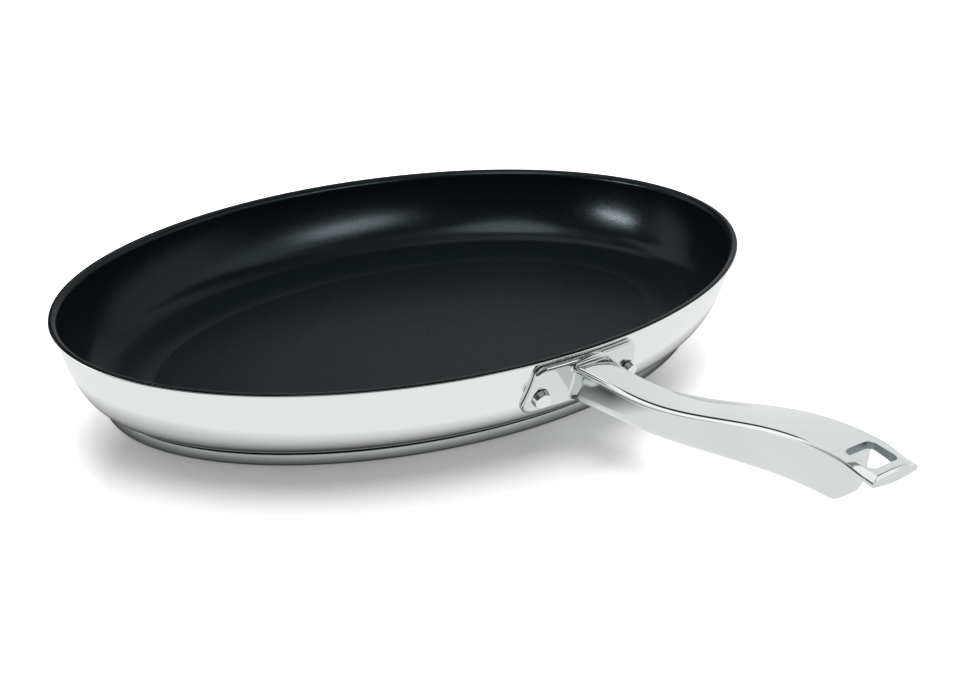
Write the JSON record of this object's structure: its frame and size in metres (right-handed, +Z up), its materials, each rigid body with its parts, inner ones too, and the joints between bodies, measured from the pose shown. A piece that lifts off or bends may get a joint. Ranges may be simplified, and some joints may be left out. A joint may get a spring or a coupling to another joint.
{
  "type": "oval fish pan",
  "caption": "Shallow oval steel pan with a non-stick inside, a capsule base and a riveted hollow handle on its long side.",
  "frame": {"origin": "the middle of the base's underside, where the pan stands", "axes": "+Z up out of the pan, X along the oval's long axis, the handle points along -Y"},
  "size_m": [0.36, 0.429, 0.0531],
  "materials": {
    "polished_steel": "mirror-polished stainless steel",
    "satin_steel": "satin stainless steel",
    "aluminium": "plain, hidden",
    "nonstick_coating": "satin black non-stick coating with a fine grain"
  },
  "bodies": {
    "root": {"pan_body": "polished_steel", "nonstick_lining": "nonstick_coating", "base_cap": "satin_steel", "base_core": "aluminium", "handle_bracket": "polished_steel", "handle_top": "polished_steel", "handle_shell": "polished_steel", "rivet_left": "polished_steel", "rivet_right": "polished_steel"}
  },
  "joints": []
}
